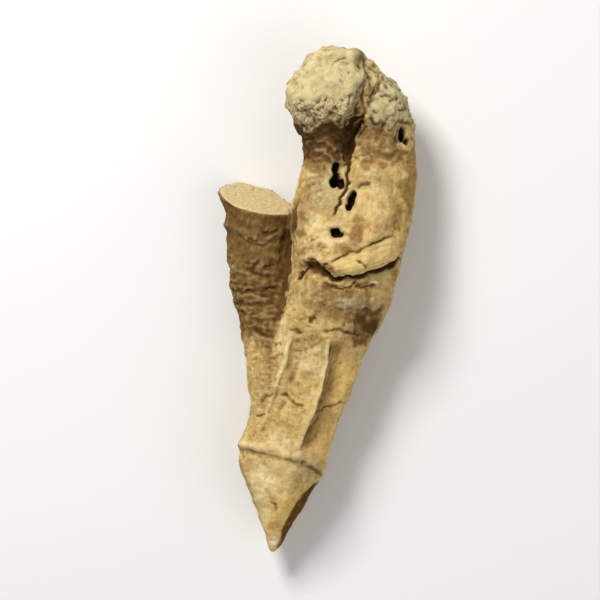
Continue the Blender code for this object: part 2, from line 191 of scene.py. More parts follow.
# Patches of colour, by mark: x, y, half width, half length, amount.
PATCHES = {
    "brown": [
        (0.2, 26.5, 4.6, 4.6, 0.40),
        (-1.8, 23.5, 2.6, 1.3, 0.60),
        (0.9, 22.6, 1.3, 0.9, 0.50),
        (9.2, 27.2, 2.2, 1.1, 0.60),
        (20.2, 29.0, 2.4, 12.0, 0.80),
        (12.0, 35.0, 4.8, 1.7, 1.00),
        (9.0, 21.5, 1.6, 3.4, 0.30),
        (3.6, 20.0, 1.4, 2.6, 0.30),
        (18.0, 33.0, 3.0, 2.2, 0.60),
        (7.2, 1.0, 7.5, 3.8, 1.00),
        (9.4, 37.2, 2.0, 1.7, 0.90),
        (-0.8, 11.6, 3.2, 2.0, 0.30),
        (-3.0, 22.0, 1.8, 8.0, 0.60),
        (-2.0, 3.0, 3.0, 5.0, 0.45),
        (12.5, 37.5, 7.5, 4.0, 0.95),
        (-4.1, 54.9, 1.0, 0.6, 0.80),
        (1.8, 49.1, 2.2, 1.0, 0.50),
        (-6.0, 53.2, 1.3, 0.6, 0.35),
        (-1.0, 47.4, 2.4, 0.6, 0.30),
        (8.0, 50.5, 1.6, 4.5, 0.15),
        (7.0, 45.0, 1.4, 2.6, 0.60),
        (3.8, -9.5, 3.8, 1.5, 0.50),
        (5.0, -1.4, 4.6, 3.0, 0.75),
        (10.0, -2.6, 4.0, 2.0, 0.80),
        (0.6, -29.2, 2.6, 0.8, 0.30),
        (-6.5, -17.0, 2.6, 6.5, 0.30),
        # The hollow on the right flank: partly a stain, partly painted shade.
        (16.2, -4.2, 6.4, 5.2, 1.00),
        (-1.5, 29.8, 3.8, 2.4, 0.80),
        (12.5, 40.0, 6.5, 2.6, 0.60),
        (1.6, -39.9, 7.0, 1.3, 0.15),
    ],
    "shade": [
        (11.6, 35.2, 4.0, 1.0, 0.30),
        (4.6, 56.2, 0.7, 1.5, 0.65),
        (8.0, 54.6, 0.8, 0.6, 0.60),
        (7.6, 49.6, 0.9, 2.2, 0.30),
        (10.2, 48.9, 0.9, 0.5, 0.50),
        # Painted shadow under the left cap's rim.
        (-3.0, 37.0, 3.2, 0.9, 0.60),
        # These two darken the hollow on the right flank: partly its stain, partly painted shade.
        (16.6, -4.3, 5.6, 4.4, 0.45),
        (16.9, -4.5, 3.8, 3.0, 0.80),
        (10.4, 41.6, 1.2, 0.7, 0.70),
        (2.6, -4.9, 0.5, 0.6, 0.50),
    ],
    "grey": [
        (7.8, 52.5, 1.3, 2.2, 0.50),
        (10.7, 0.5, 3.1, 1.2, 1.00),
        (4.8, 53.6, 1.1, 1.8, 0.70),
        (1.6, 24.5, 3.4, 4.4, 0.60),
    ],
    "pale": [
        (8.4, 52.6, 1.0, 2.6, 0.50),
        # Painted highlight on the tip's left side.
        (-3.6, -42.6, 3.0, 5.5, 1.00),
        (1.7, 34.4, 0.8, 0.7, 1.00),
        (0.6, 16.2, 3.6, 2.9, 0.55),
        (16.9, 44.1, 1.9, 0.6, 0.70),
        (3.4, -13.8, 3.0, 3.4, 0.50),
        (0.6, -43.6, 3.8, 3.0, 0.60),
        (-1.0, -50.0, 1.6, 5.5, 0.60),
        (-1.8, 12.2, 2.5, 1.6, 0.30),
        (3.6, 13.0, 2.6, 1.6, 0.70),
        (12.1, 37.9, 2.4, 1.0, 0.70),
        (13.0, 24.5, 4.0, 5.0, 0.35),
        (11.6, 30.4, 3.6, 0.9, 0.45),
        (-0.6, 1.6, 0.8, 2.4, 0.60),
        (1.2, -33.2, 4.2, 2.6, 0.55),
        # Painted highlight along the left ridge's crest.
        (-1.5, -19.0, 0.9, 6.0, 0.45),
        (0.5, -40.5, 5.0, 2.4, 0.40),
        (-11.8, 7.8, 1.4, 0.9, 0.55),
        # Painted highlight along the left ridge's crest, in these two.
        (-3.4, -8.5, 0.8, 5.0, 0.50),
        (-1.6, -12.5, 0.7, 4.5, 0.60),
    ],
    "red": [
        (6.4, 47.2, 0.7, 0.6, 0.80),
        (0.3, 33.3, 1.7, 0.9, 0.60),
        (-2.6, 31.9, 2.2, 0.6, 0.45),
        (9.6, 16.6, 1.4, 3.4, 0.75),
        (-2.2, 14.5, 1.6, 0.7, 0.60),
        (-1.8, 10.0, 2.4, 0.7, 0.60),
        (2.8, 12.3, 1.3, 0.6, 0.55),
        (0.1, 13.4, 0.7, 0.5, 0.75),
        (7.8, 12.4, 1.0, 0.8, 0.60),
        (11.4, 39.9, 1.1, 0.9, 0.90),
        (17.7, 36.1, 1.8, 0.7, 0.90),
        (9.4, 32.0, 1.3, 1.6, 0.70),
        (13.6, 32.6, 1.3, 0.7, 0.65),
        (14.0, 5.0, 2.3, 0.9, 0.75),
        (2.6, 7.2, 3.2, 1.3, 0.95),
    ],
    "dark": [
        (-5.9, 38.6, 1.0, 0.7, 0.75),
        (-3.9, 36.1, 1.1, 0.5, 0.75),
        (0.9, 38.2, 1.3, 0.5, 0.60),
        (2.2, 37.1, 0.8, 0.6, 0.65),
        (-2.5, 34.5, 1.1, 0.7, 0.50),
        (2.9, 34.2, 0.7, 0.9, 0.70),
        (-3.4, 32.4, 0.9, 0.7, 0.45),
        # The hollow on the right flank: partly a stain, partly painted shade.
        (17.0, -4.6, 2.4, 1.9, 0.30),
    ],
    "ochre": [
        (11.0, -17.0, 3.4, 8.0, 1.00),
        (8.2, -30.5, 3.4, 5.5, 0.75),
        (1.6, -48.5, 4.5, 8.0, 0.90),
        (19.5, 28.0, 2.8, 12.0, 0.70),
        (12.5, 23.0, 4.5, 6.0, 0.45),
    ],
    "white": [
        (15.6, 5.9, 1.3, 0.5, 1.00),
        (1.6, -56.4, 1.4, 1.4, 0.90),
        (-3.4, 38.3, 1.0, 0.9, 0.45),
    ],
}

# Where the outline stands out or falls back a little: x, y, half width and height.
SWELLINGS = [
    (12.0, -33.6, 4.5, 1.1),
    (10.6, -39.9, 1.8, 0.8),
    (-10.3, -37.0, 2.2, -0.8),
    (-21.0, 16.0, 3.0, -1.2),
    (-10.2, 42.3, 2.5, 0.7),
    (19.5, 44.5, 3.0, 0.8),
    (3.0, 57.2, 1.9, 1.3),
]

SKIN_VOXEL = 0.375
FACET_SMOOTHING = 8

# How many times a point is averaged with its neighbours to find hollows, and how strongly they count.
HOLLOW_ROUNDS = 4
HOLLOW_GAIN = 3.0

# The bark's shine, and its fine bump's strength and depth.
SPECULAR = 0.03
BUMP_STRENGTH = 0.7
BUMP_DEPTH = 0.25

# The photograph's view: straight down, with the root leaning to the right of upright.
LEAN = math.radians(8.72)
VIEW_HEIGHT = 137.0
MIDDLE_HEIGHT = 13.0
LENS = 240.0
SENSOR = 36.0

# Lights: place and size in metres, power in watts, colour.
LIGHTS = {
    "key": ((-0.30, 0.34, 0.46), 0.22, 3.9, (1.0, 0.98, 0.95)),
    "fill": ((0.45, -0.20, 0.45), 0.60, 1.2, (1, 1, 1)),
}
SKY_STRENGTH = 0.30
FLOOR_METRES = 3.0
FLOOR_COLOUR = (0.86, 0.86, 0.85, 1)


def bell(distance, width):
    """1 at no distance, 0.37 at the width, and soon 0 beyond it."""
    return np.exp(-((distance / width) ** 2))


def ramp(low, high, value):
    """0 at low, 1 at high, and a smooth rise between them."""
    t = np.clip((value - low) / (high - low), 0, 1)
    return t * t * (3 - 2 * t)


def lumps(points, size, seed):
    """Smooth noise from about -1 to 1, with lumps of that size, which may differ along x, y and z."""
    shift = Vector((seed * 17.3, seed * 5.1, seed * 9.7))
    scaled = points / np.array(size)
    return np.array([noise.noise(Vector(point) + shift) for point in scaled]) * 1.6


def cells(points, size, seed):
    """How far each point is from the middle of its noise cell: 0 there and about 1 at the cell's edge."""
    shift = Vector((seed * 7.1, seed * 3.3, seed * 11.9))
    scaled = points / np.array(size)
    return np.array([noise.voronoi(Vector(point) + shift)[0][0] for point in scaled])


def beside(line, x, y):
    """Each point's distance from a line, above 0 on the line's left, and the share of it passed."""
    line = np.array(line)
    steps = line[1:] - line[:-1]
    lengths = np.hypot(steps[:, 0], steps[:, 1])
    nearest = np.full(x.shape, np.inf)
    offset = np.zeros(x.shape)
    along = np.zeros(x.shape)
    passed = 0.0
    for start, step, length in zip(line, steps, lengths):
        dx = x - start[0]
        dy = y - start[1]
        share = np.clip((dx * step[0] + dy * step[1]) / length**2, 0, 1)
        distance = np.hypot(dx - share * step[0], dy - share * step[1])
        side = np.where(step[0] * dy > step[1] * dx, 1, -1)
        closer = distance < nearest
        nearest = np.where(closer, distance, nearest)
        offset = np.where(closer, side * distance, offset)
        along = np.where(closer, (passed + share * length) / lengths.sum(), along)
        passed += length
    return offset, along


def fade_at_ends(along, share):
    """0 at both ends of a line and 1 between them, with a rise over that share of it."""
    return ramp(0, share, along) * ramp(0, share, 1 - along)


class Skin:
    """The skin's points and normals, where they lie on the root, and the marks for its colours."""

    MARKS = (
        "callus", "rim", "stain", "dark", "shade", "cut", "strip", "brown", "red", "pale", "grey", "ochre",
        "stem", "white", "chop",
    )

    def __init__(self, mesh):
        self.mesh = mesh
        self.points = self.read("co") / MM - CENTRING
        self.normals = self.read("normal")
        self.x, self.y, self.z = self.points.T
        self.top = ramp(0.0, 0.4, self.normals[:, 2])
        self.off_ground = ramp(0.0, 0.6, self.z)
        stations = np.array(TRUNK).T
        right = self.x - np.interp(self.y, stations[1], stations[0])
        up = self.z - np.interp(self.y, stations[1], stations[2])
        self.angle = np.arctan2(right, up)
        radius = np.interp(self.y, stations[1], stations[3])
        self.on_trunk = ramp(3.0, 1.0, np.hypot(right, up) - radius)
        self.coarse = lumps(self.points, 3.0, 2)
        self.middling = lumps(self.points, 1.7, 3)
        self.fine = lumps(self.points, 0.9, 4)
        seam, _ = beside(STEM_SEAM, self.x, self.y)
        self.on_stem = ramp(0.8, -0.8, seam + 0.6 * self.coarse)
        self.on_stem *= ramp(*STEM_FOOT, self.y + 2.2 * self.coarse)
        _, past_saw_cut = self.cut_face(SAW_CUT)
        self.on_stem *= ramp(2.5, 0.5, past_saw_cut + 0.5 * self.coarse)
        self.height = np.zeros(len(self.points))
        self.marks = {name: np.zeros(len(self.points)) for name in self.MARKS}

    def read(self, field):
        values = np.empty(len(self.mesh.vertices) * 3)
        self.mesh.vertices.foreach_get(field, values)
        return values.reshape(-1, 3)

    def ragged(self, coarse, middling, fine):
        """An uneven amount to add to a distance, so that its edge is ragged."""
        return coarse * self.coarse + middling * self.middling + fine * self.fine

    def bent(self, amount):
        """The points, shifted unevenly, so that noise read there is less regular."""
        return self.points + amount * self.coarse[:, None]

    def from_spot(self, x, y, half_width, half_length):
        """Each point's distance from a spot's middle, seen from above: 1 at the spot's edge."""
        return np.hypot((self.x - x) / half_width, (self.y - y) / half_length)

    def mark(self, name, amount):
        """Raises a mark to that amount where it is lower."""
        self.marks[name] = np.maximum(self.marks[name], np.clip(amount, 0, 1))

    def line(self, points, half_width, depth, darkness, ends=0.15):
        """A ragged crack along a line on the upper side, darkened with painted shade: brown at first, and
        black where it is darkest.
        """
        offset, along = beside(points, self.x, self.y)
        distance = np.abs(offset + 0.35 * self.middling + 0.15 * self.fine)
        width = half_width * (1 + 0.5 * self.coarse)
        crack = ramp(1.9, 0.4, distance / np.maximum(width, 0.1)) * fade_at_ends(along, ends) * self.top
        self.height -= depth * crack
        self.mark("shade", 1.5 * darkness * crack)
        self.mark("dark", (2.2 * darkness - 1.2) * crack)

    def cut_face(self, cut):
        """How far each point is on a flat cut's face, and its distance out from the cut's plane."""
        point, facing = cut
        direction = np.array(Vector(facing).normalized())
        distance = (self.points - np.array(point)) @ direction
        return ramp(-0.5, -0.15, distance) * ramp(0.78, 0.93, self.normals @ direction), distance

    def finish(self):
        """Moves the points by the height gathered, and keeps the marks in the mesh."""
        moved = self.points + self.normals * (self.height * self.off_ground)[:, None] + CENTRING
        moved[:, 2] = np.maximum(moved[:, 2], 0)
        self.mesh.vertices.foreach_set("co", (moved * MM).ravel())
        self.mesh.update()
        self.marks["hollow"] = self.hollowness()
        for name, amount in self.marks.items():
            field = self.mesh.attributes.new(name, "FLOAT", "POINT")
            field.data.foreach_set("value", amount.astype(np.float32))

    def hollowness(self):
        """0.5 on even ground, towards 1 in hollows and towards 0 on crests."""
        points = self.read("co") / MM
        normals = self.read("normal")
        edges = np.empty(len(self.mesh.edges) * 2, int)
        self.mesh.edges.foreach_get("vertices", edges)
        a, b = edges.reshape(-1, 2).T
        count = np.bincount(a, minlength=len(points)) + np.bincount(b, minlength=len(points))
        around = points.copy()
        for _ in range(HOLLOW_ROUNDS):
            total = np.zeros_like(around)
            for axis in range(3):
                total[:, axis] = np.bincount(a, around[b, axis], len(points))
                total[:, axis] += np.bincount(b, around[a, axis], len(points))
            around = total / count[:, None]
        above = ((around - points) * normals).sum(axis=1)
        return np.clip(0.5 + above * HOLLOW_GAIN, 0, 1)


def carve_bark(skin):
    """Uneven lumps, furrows along the grain, and short cracks across it on the sides and the back."""
    grain = np.array([0.9, 6.0, 0.9])
    side = 1 - 0.6 * skin.top
    bent = skin.bent(0.8)
    skin.height += skin.ragged(0.12, 0.07, 0.05)
    skin.height += 0.13 * side * lumps(bent, grain, 23)
    skin.height += 0.25 * side * lumps(bent, grain * 2.2, 24)
    dashes = lumps(bent, (3.0, 0.8, 3.0), 25) + 0.6 * lumps(skin.points, 9.0, 26)
    crack = ramp(0.85, 1.3, dashes) * (1 - skin.top)
    skin.height -= 0.35 * crack
    skin.mark("brown", crack)
    rough = 0.2 + 0.4 * (1 - skin.top)
    for x, y, half_width, half_length in ROUGH_SPOTS:
        distance = skin.from_spot(x, y, half_width, half_length) + 0.3 * skin.coarse
        rough = np.maximum(rough, ramp(1.3, 0.7, distance) * skin.top)
    speckles = lumps(bent, (1.5, 0.9, 1.5), 27) + 0.5 * lumps(skin.points, (0.8, 0.6, 0.8), 28)
    skin.height += 0.10 * rough * speckles
    skin.mark("brown", 0.75 * rough * ramp(0.35, 1.1, -speckles))
    skin.mark("pale", 0.65 * rough * ramp(0.35, 1.1, speckles))


def carve_rings(skin):
    """Grooves round the trunk, brown and darkened with painted shade, each with a pale lip on its upper
    side that is a painted highlight.
    """
    wobble = 0.4 * skin.coarse + 0.25 * skin.middling
    unbroken = 0.5 + 0.5 * ramp(-0.5, 0.2, lumps(skin.points, 4.0, 32))
    for place, to_right, to_top, filled, darkness in RINGS:
        middle = place + to_right * np.sin(skin.angle) + to_top * np.cos(skin.angle)
        above = skin.y - middle - wobble
        groove = bell(above, 0.45) * skin.on_trunk * unbroken
        lip = bell(above - 1.1, 0.7) * skin.on_trunk
        skin.height += filled * bell(above, 0.7) * skin.on_trunk - 0.2 * darkness * groove
        skin.mark("brown", darkness * groove)
        skin.mark("shade", darkness * groove * (0.55 + 0.6 * skin.coarse))
        skin.mark("pale", 0.6 * darkness * lip)


def carve_cracks(skin):
    """All the cracks and seams, and the rough ridge between the two caps."""
    for line, half_width, depth, darkness in CRACKS:
        skin.line(line, half_width, depth, darkness)
    skin.line(CREASE, 0.34, 0.5, 0.75)
    skin.line(CREVICE, 0.6, 0.4, 0.8)
    skin.line(STEM_SEAM, 0.6, 0.5, 0.55)
    skin.line(BETWEEN_CAPS, 0.30, 0.3, 0.30, ends=0.06)
    skin.line(BESIDE_RIGHT_CAP, 0.35, 0.3, 0.35)
    between, _ = beside(BESIDE_RIGHT_CAP, skin.x, skin.y)
    ridge = bell(between + 1.4, 2.2) * (1 - skin.marks["callus"]) * ramp(*CAP_RIDGE_FOOT, skin.y) * skin.top
    skin.height += ridge * (0.2 * skin.middling + 0.15 * skin.fine)
    skin.mark("shade", 0.45 * ridge * ramp(0.1, 0.9, -skin.middling - 0.5 * skin.fine))
    skin.mark("pale", 0.6 * ridge * ramp(0.1, 0.9, skin.middling + 0.5 * skin.fine))


def carve_ridges(skin):
    """A step down on the right of each ridge of the lower half, with a brown painted shade at its foot and
    a painted highlight along its crest.

    The left ridge is soft and fades downwards. The middle one is sharper, and has a thin dark foot of
    painted shade.
    """
    for line, width, depth, step, amount, foot, fading in (
        (LEFT_RIDGE, 1.9, 0.30, 0.7, 0.75, 0.2, 0.8),
        (MIDDLE_RIDGE, 2.8, 0.55, 0.2, 0.95, 0.8, 0.2),
    ):
        offset, along = beside(line, skin.x, skin.y)
        past = offset + 0.35 * skin.coarse + 0.15 * skin.middling
        here = fade_at_ends(along, 0.12) * skin.top
        skin.height -= 0.45 * here * bell(past, 1.0)
        skin.height -= depth * here * ramp(-step, step, past) * ramp(2 * width, 0.5 * width, past)
        here *= 1 - fading * ramp(0.25, 0.6, along)
        shade = here * ramp(-0.1, 0.4, past) * ramp(width, 0.3, past)
        skin.mark("brown", amount * shade)
        skin.mark("shade", 0.4 * amount * shade * (0.8 + 0.5 * skin.coarse))
        skin.mark("shade", here * foot * bell(past - 0.3, 0.3) * (0.5 + 0.7 * skin.coarse))
        skin.mark("pale", 0.85 * here * bell(past + 0.6, 0.5))


def carve_tear(skin):
    """The torn bark: a splintered light strip with a painted highlight along its lower edge, a gap under it
    darkened as painted shadow, a seam of painted shade along its upper edge, and a hollow at its end
    darkened with painted shade.
    """
    below, along = beside(STRIP_BOTTOM, skin.x, skin.y)
    above, above_along = beside(STRIP_TOP, skin.x, skin.y)
    edge = below + 0.3 * skin.middling
    brink = above + 0.3 * skin.middling
    here = ramp(0, 0.04, along) * ramp(1.0, 0.9, along) * skin.top
    on_strip = ramp(-0.1, 0.3, edge) * ramp(0.2, -0.2, brink) * here
    turned = skin.points.copy()
    turned[:, 1] -= math.tan(STRIP_TURN) * skin.x
    splinters = lumps(turned, (7.0, 0.8, 3.0), 62) + 0.5 * lumps(turned, (3.0, 0.4, 1.5), 64)
    skin.height -= on_strip * (0.12 * skin.coarse + 0.07 * skin.middling - 0.08 * splinters)
    skin.mark("strip", on_strip)
    skin.mark("brown", 0.6 * on_strip * ramp(0.4, 1.0, -splinters))
    # Painted highlight along the strip's lower edge.
    skin.mark("pale", 0.8 * here * bell(edge - 0.5, 0.5) * ramp(-0.4, 0.4, skin.coarse))
    # The gap under the strip, darkened as painted shadow.
    gap = ramp(0.15, -0.15, edge) * ramp(-1.3, -0.6, edge + 0.4 * skin.coarse) * here
    skin.height -= 0.6 * gap
    skin.mark("shade", gap)
    skin.mark("dark", 0.75 * gap)
    seam = bell(brink, 0.3) * fade_at_ends(above_along, 0.08) * here * (0.85 + 0.3 * skin.coarse)
    skin.height -= 0.3 * seam
    skin.mark("shade", seam)
    x, y, half_width, half_length, slope = TEAR_HOLLOW
    right = skin.x - x
    away = np.hypot(right / half_width, (skin.y - y + slope * right) / half_length)
    hollow = ramp(1.3, 0.6, away + 0.4 * skin.middling) * skin.top * ramp(0.3, -0.1, on_strip)
    skin.height -= 0.9 * hollow
    skin.mark("shade", 0.85 * hollow)
    skin.mark("dark", 0.7 * hollow * ramp(2.0, 5.0, skin.x))
    ledge = ramp(0.2, -0.6, edge) * ramp(-11.0, -6.0, edge) * here
    skin.mark("brown", 0.45 * ledge * (0.8 + 0.6 * skin.coarse))


def carve_pits(skin):
    """Ragged holes darkened with painted shade, with a brown edge, and a pale ring round that."""
    ragged = skin.ragged(0, 0.30, 0.15)
    nearest = np.full(len(skin.points), np.inf)
    for x, y, half_width, half_length, depth in PITS:
        distance = skin.from_spot(x, y, half_width, half_length) + ragged
        hole = ramp(1.25, 0.7, distance) * skin.top
        skin.height -= depth * hole * (1 - ramp(1.2, 2.2, -skin.height))
        skin.mark("shade", 1.4 * hole)
        skin.mark("dark", 1.3 * hole - 0.2)
        nearest = np.minimum(nearest, distance)
    skin.mark("brown", 0.8 * bell(nearest - 1.3, 0.4) * skin.top)
    skin.mark("pale", 0.5 * bell(nearest - 2.3, 0.5) * skin.top)


def carve_callus(skin):
    """Pale lumpy caps with a smooth face and a crumbly rim, and painted shade between the crumbs, along the
    rim's lower edge and between the right cap's knobs.
    """
    bent = skin.bent(1.2)
    shifted = skin.points + 0.5 * skin.middling[:, None]
    crumbs = cells(shifted, (1.1, 1.7, 1.5), 83)
    creases = bell(lumps(bent, 4.2, 84), 0.07) * ramp(-0.2, 0.3, lumps(skin.points, 3.5, 85))
    ripples = lumps(bent, (5.0, 1.6, 1.6), 86)
    knobs = lumps(shifted, 1.8, 88) + 0.4 * skin.fine
    ragged = skin.ragged(0.5, 0.35, 0.15)
    for pad, face_edge, rim_edge in (
        (LEFT_PAD, LEFT_FACE_EDGE, LEFT_RIM_EDGE),
        (RIGHT_PAD, RIGHT_FACE_EDGE, RIGHT_RIM_EDGE),
    ):
        middle, facing, radius, back = pad
        away = skin.points - np.array(middle)
        depth = away @ np.array(Vector(facing).normalized())
        near = ramp(1.5, 1.3, np.linalg.norm(away, axis=1) / radius)
        over_rim, _ = beside(rim_edge, skin.x, skin.y)
        over_face, _ = beside(face_edge, skin.x, skin.y)
        cap_above = ramp(-0.3, 0.3, over_rim + ragged)
        cap_beside = ramp(back - 0.4, back + 0.3, depth + ragged)
        cap = near * (skin.top * cap_above + (1 - skin.top) * cap_beside)
        face_above = ramp(-0.5, 0.5, over_face + ragged)
        face_beside = ramp(0.5, 2.0, depth)
        face = cap * (skin.top * face_above + (1 - skin.top) * face_beside)
        rim = cap - face
        skin.mark("callus", cap)
        skin.mark("rim", rim)
        skin.height += rim * (0.30 - 0.5 * crumbs + 0.12 * skin.fine + 0.25 * skin.middling)
        # Painted shade between the crumbs and along the rim's lower edge.
        low = rim * ramp(2.6, 0.4, over_rim + 0.5 * ragged) * skin.top
        skin.mark("shade", 0.6 * rim * ramp(0.5, 0.95, crumbs + 0.25 * skin.middling) + 0.35 * low)
        skin.height += face * (0.18 * ripples + 0.22 * skin.coarse - 0.12 * creases)
        skin.mark("brown", 0.45 * face * creases)
        if pad is RIGHT_PAD:
            skin.height += cap * 0.22 * knobs
            skin.mark("grey", 0.65 * cap)
            # Painted shade between the right cap's knobs.
            skin.mark("shade", 0.35 * cap * ramp(0.2, 1.2, -knobs))


def carve_neck(skin):
    """The stained neck under the left cap, scaly and porous, with painted shade in its pores and between
    its scales, and a painted shadow of the cap's rim that makes it darker towards the cap.
    """
    ragged_y = skin.y + skin.ragged(0.5, 0.35, 0.15)
    wavy_y = ragged_y + 2.0 * (1 - 0.9 * skin.top) * skin.coarse
    left_side = ramp(*NECK_RIGHT_X, skin.x + 0.3 * skin.middling)
    neck = ramp(*NECK_FOOT, wavy_y) * ramp(*NECK_HEAD, ragged_y) * left_side
    neck *= 1 - skin.marks["callus"]
    skin.mark("stain", neck)
    pores = ramp(0.2, 1.3, lumps(skin.points, 1.9, 87))
    flakes = lumps(skin.bent(1.2), (2.2, 1.0, 1.6), 89)
    skin.height += neck * (0.5 * bell(skin.y - 35, 3.0) * ramp(-1.0, -4.0, skin.x) - 0.3 * pores)
    skin.height += neck * (0.18 * flakes + 0.12 * skin.middling)
    skin.mark("shade", 0.6 * neck * ramp(0.1, 0.9, -flakes))
    # Painted shade in the pores, and the painted shadow of the cap's rim, rising towards it.
    skin.mark("shade", neck * (0.6 * pores + 0.7 * ramp(34.5, 37.0, ragged_y)))
    skin.mark("dark", neck * pores * 0.9 * ramp(34.0, 36.0, ragged_y))
    skin.mark("dark", 0.5 * neck * ramp(36.0, 38.2, ragged_y))


def carve_stem(skin):
    """The sawn stem: smooth near its top, then dirty and closely wrinkled."""
    skin.mark("stem", skin.on_stem)
    ragged_y = skin.y + 0.8 * skin.coarse
    rough = skin.on_stem * ramp(*reversed(STEM_SMOOTH), ragged_y)
    bent = skin.bent(0.3)
    folds = lumps(bent, (4.0, 0.9, 3.0), 92)
    knots = lumps(skin.points, (1.3, 0.9, 1.3), 93)
    deep = folds + 0.7 * knots
    skin.height += rough * (0.16 * folds + 0.16 * knots)
    skin.mark("shade", rough * (0.25 + 0.5 * ramp(0.1, 0.9, -deep)))
    skin.mark("dark", 0.4 * rough * ramp(0.9, 1.4, -deep))
    skin.mark("pale", 0.3 * rough * ramp(0.7, 1.3, deep))
    smooth = skin.on_stem * ramp(*STEM_SMOOTH, ragged_y)
    blotches = lumps(bent, (2.6, 1.4, 2.6), 94)
    skin.height += smooth * 0.06 * blotches
    skin.mark("shade", smooth * (0.12 + 0.3 * ramp(0.1, 0.9, blotches)))


def carve_saw_cut(skin):
    """The stem's sawn face, with growth rings and rays round its pith."""
    face, distance = skin.cut_face(SAW_CUT)
    face *= ramp(*SAW_FACE_RIGHT_X, skin.x)
    for name in skin.MARKS:
        skin.marks[name] *= 1 - face
    skin.mark("cut", face)
    skin.mark("shade", 0.45 * skin.on_stem * ramp(-3.0, -0.6, distance) * (1 - face))
    across = skin.x - STEM_PITH[0]
    up = skin.z - STEM_PITH[1]
    from_pith = np.hypot(across, up) + 0.25 * skin.coarse
    round_pith = np.arctan2(up, across)
    rings = np.sin(from_pith * 2 * math.pi / RING_SPACING) * ramp(1.0, 3.0, from_pith)
    spokes = np.stack([np.cos(round_pith) * 9, np.sin(round_pith) * 9, 0.1 * from_pith], axis=1)
    rays = ramp(0.75, 1.1, lumps(spokes, 0.9, 97)) * ramp(0.8, 2.0, from_pith)
    skin.height *= 1 - 0.9 * face
    skin.height += face * (0.04 * skin.fine + 0.03 * rings - 0.12 * rays)
    skin.mark("brown", face * (0.12 + 0.12 * rings + 0.45 * rays + bell(from_pith, 0.7)))


def carve_tip(skin):
    """The tip's two chopped sides: dark grain on the right, whose dark brown is partly the wood's colour
    and partly painted shade, and a flat brown and grey face on the left.
    """
    chopped, _ = skin.cut_face(RIGHT_CHOP)
    right, _ = beside(CHOP_EDGE, skin.x, skin.y)
    chopped *= ramp(*CHOP_HEAD, skin.y) * ramp(-0.3, 0.3, right + 0.3 * skin.middling)
    grain = lumps(skin.points, (0.7, 7.0, 1.2), 98)
    skin.height += chopped * 0.12 * grain
    skin.mark("chop", chopped)
    skin.mark("shade", 0.5 * chopped * ramp(-0.2, 0.8, grain))

    right, _ = beside(TIP_LEFT_EDGE, skin.x, skin.y)
    left = ramp(0.3, -0.3, right + 0.3 * skin.middling) * ramp(-0.1, -0.5, skin.normals[:, 0])
    left *= ramp(*TIP_HEAD, skin.y + 0.5 * skin.coarse)
    skin.marks["pale"] *= 1 - left
    skin.mark("grey", 0.6 * left)
    skin.mark("brown", 0.6 * left)


def colour_patches(skin):
    """Spots of each colour on the upper side, with ragged edges."""
    ragged = skin.ragged(0.35, 0.25, 0.12)
    for name, patches in PATCHES.items():
        for x, y, half_width, half_length, amount in patches:
            distance = skin.from_spot(x, y, half_width, half_length) + ragged
            skin.mark(name, amount * ramp(1.25, 0.55, distance) * skin.top)


def fine_skin(node):
    """A fine copy of the node's mesh whose facets are smoothed away."""
    made = bpy.data.objects.new("bark", node.data.copy())
    bpy.context.scene.collection.objects.link(made)
    skin = made.modifiers.new("fine skin", "REMESH")
    skin.mode = "VOXEL"
    skin.voxel_size = SKIN_VOXEL * MM
    soft = made.modifiers.new("no facets", "SMOOTH")
    soft.factor = 0.5
    soft.iterations = FACET_SMOOTHING
    bpy.context.view_layer.update()
    graph = bpy.context.evaluated_depsgraph_get()
    made.data = bpy.data.meshes.new_from_object(made.evaluated_get(graph))
    made.modifiers.clear()
    made.data.name = "bark"
    return made


